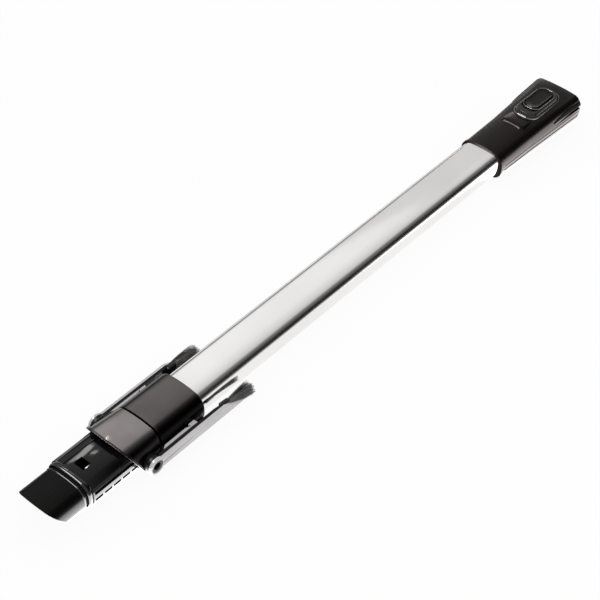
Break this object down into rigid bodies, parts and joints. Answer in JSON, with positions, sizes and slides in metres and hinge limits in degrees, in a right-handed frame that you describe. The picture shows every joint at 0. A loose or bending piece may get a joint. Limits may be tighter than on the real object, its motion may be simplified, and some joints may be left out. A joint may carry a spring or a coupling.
{
  "type": "telescopic vacuum wand",
  "caption": "Telescopic vacuum wand: oval aluminium tube, slanted black spigot, collar with lock sleeve, socket with push button, and fold-over dusting-brush arms.",
  "frame": {"origin": "under the middle of the retracted wand, on the surface that its back lies on", "axes": "+X along the wand from the mouth to the hose socket, +Y to its left, +Z out of its front face"},
  "size_m": [0.647, 0.0654, 0.0368],
  "materials": {
    "tube_satin": "satin, drawn along its length, clear coated",
    "tube_inner": "bright drawn",
    "collar_dark": "fine satin moulding",
    "fitting_gloss": "polished moulding",
    "tip_black": "satin moulding",
    "housing_black": "satin moulding",
    "button_black": "satin top, glossy edge",
    "arm_silver": "silver grey moulding",
    "bristle_grey": "straight nylon bristles",
    "pin_dark": "blackened",
    "seal_rubber": "matt",
    "guide_plastic": "natural moulding",
    "spring_steel": "bright"
  },
  "bodies": {
    "outer_wand": {"outer_tube": "tube_satin", "collar_core": "collar_dark", "mouth_ring": "collar_dark", "bumper_seal": "seal_rubber", "guide_bush": "guide_plastic", "lock_shoe": "guide_plastic", "retaining_ring": "guide_plastic", "sleeve_springs": "spring_steel", "left_pivot_pin": "pin_dark", "right_pivot_pin": "pin_dark", "top_shell": "housing_black", "bottom_shell": "housing_black", "tube_screw": "spring_steel", "button_bezel": "housing_black", "button_springs": "spring_steel", "socket_seal": "seal_rubber"},
    "inner_wand": {"inner_tube": "tube_inner", "slide_ring": "guide_plastic", "end_fitting": "fitting_gloss", "nozzle_tip": "tip_black", "tip_seal": "seal_rubber"},
    "sleeve": {"lock_sleeve": "collar_dark"},
    "button": {"release_button": "button_black"},
    "left_brush": {"left_arm": "arm_silver", "left_arm_cover": "arm_silver", "left_bristles": "bristle_grey"},
    "right_brush": {"right_arm": "arm_silver", "right_arm_cover": "arm_silver", "right_bristles": "bristle_grey"}
  },
  "joints": [
    {"name": "telescope", "type": "slide", "parent": "outer_wand", "child": "inner_wand", "axis": [-1, 0, 0], "range_m": [0, 0.33]},
    {"name": "sleeve_release", "type": "slide", "parent": "outer_wand", "child": "sleeve", "axis": [1, 0, 0], "range_m": [0, 0.008], "stiffness_N_per_m": 1200, "deforming": ["sleeve_springs"]},
    {"name": "button_press", "type": "slide", "parent": "outer_wand", "child": "button", "axis": [0, 0, -1], "range_m": [0, 0.0014], "stiffness_N_per_m": 2500, "deforming": ["button_springs"]},
    {"name": "left_brush_fold", "type": "hinge", "parent": "outer_wand", "child": "left_brush", "pos_m": [-0.2322, 0, 0.0156], "axis": [0, -1, 0], "range_deg": [0, 180]},
    {"name": "right_brush_fold", "type": "hinge", "parent": "outer_wand", "child": "right_brush", "pos_m": [-0.2322, 0, 0.0156], "axis": [0, -1, 0], "range_deg": [0, 180]}
  ]
}
